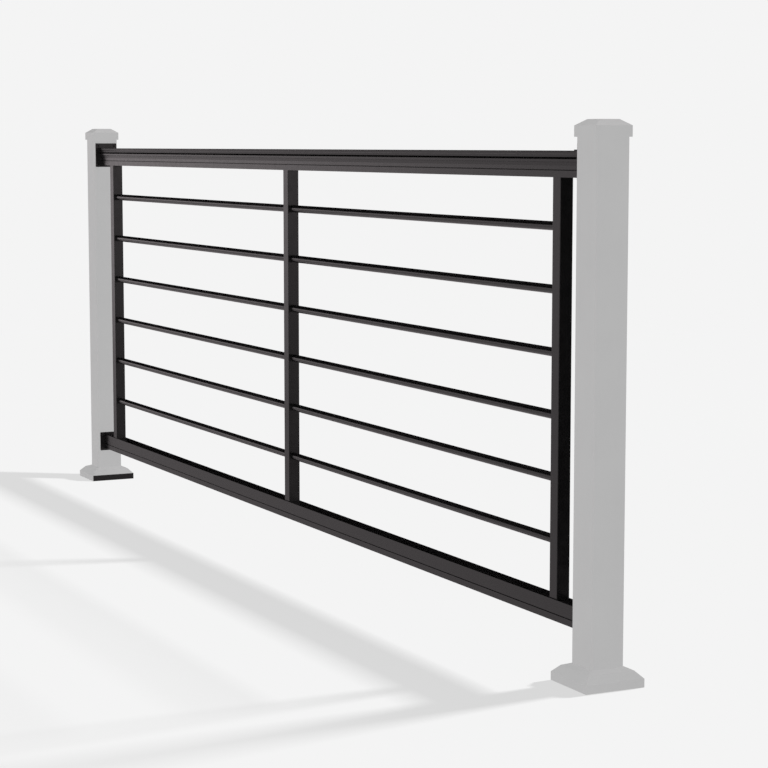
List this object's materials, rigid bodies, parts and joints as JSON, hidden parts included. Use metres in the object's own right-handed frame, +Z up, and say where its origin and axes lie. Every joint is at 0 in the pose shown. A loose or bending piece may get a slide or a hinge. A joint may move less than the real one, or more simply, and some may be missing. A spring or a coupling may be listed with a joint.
{
  "type": "deck railing section",
  "caption": "Straight deck railing section: an open panel of horizontal round rods between top and bottom rails, held by square capped posts on bolted bases.",
  "frame": {"origin": "middle of the left post's base plate, on its underside", "axes": "+X along the panel towards the right post, +Y to the back, +Z up"},
  "size_m": [2.6906, 0.116, 0.9597],
  "materials": {
    "post_grey": "matt powder coat",
    "skirt_grey": "matt powder coat",
    "rail_black": "satin powder coat",
    "baluster_black": "satin powder coat",
    "rod_black": "satin powder coat",
    "bracket_black": "satin powder coat",
    "plate_metal": "mill finish"
  },
  "bodies": {
    "root": {"bottom_left_bracket": "bracket_black", "bottom_rail": "rail_black", "bottom_right_bracket": "bracket_black", "left_base_plate": "plate_metal", "left_base_skirt": "skirt_grey", "left_end_baluster": "baluster_black", "left_post": "post_grey", "left_post_cap": "post_grey", "middle_baluster": "baluster_black", "right_base_plate": "plate_metal", "right_base_skirt": "skirt_grey", "right_end_baluster": "baluster_black", "right_post": "post_grey", "right_post_cap": "post_grey", "rod_1": "rod_black", "rod_2": "rod_black", "rod_3": "rod_black", "rod_4": "rod_black", "rod_5": "rod_black", "rod_6": "rod_black", "top_left_bracket": "bracket_black", "top_rail": "rail_black", "top_rail_cover": "rail_black", "top_right_bracket": "bracket_black"}
  },
  "joints": []
}
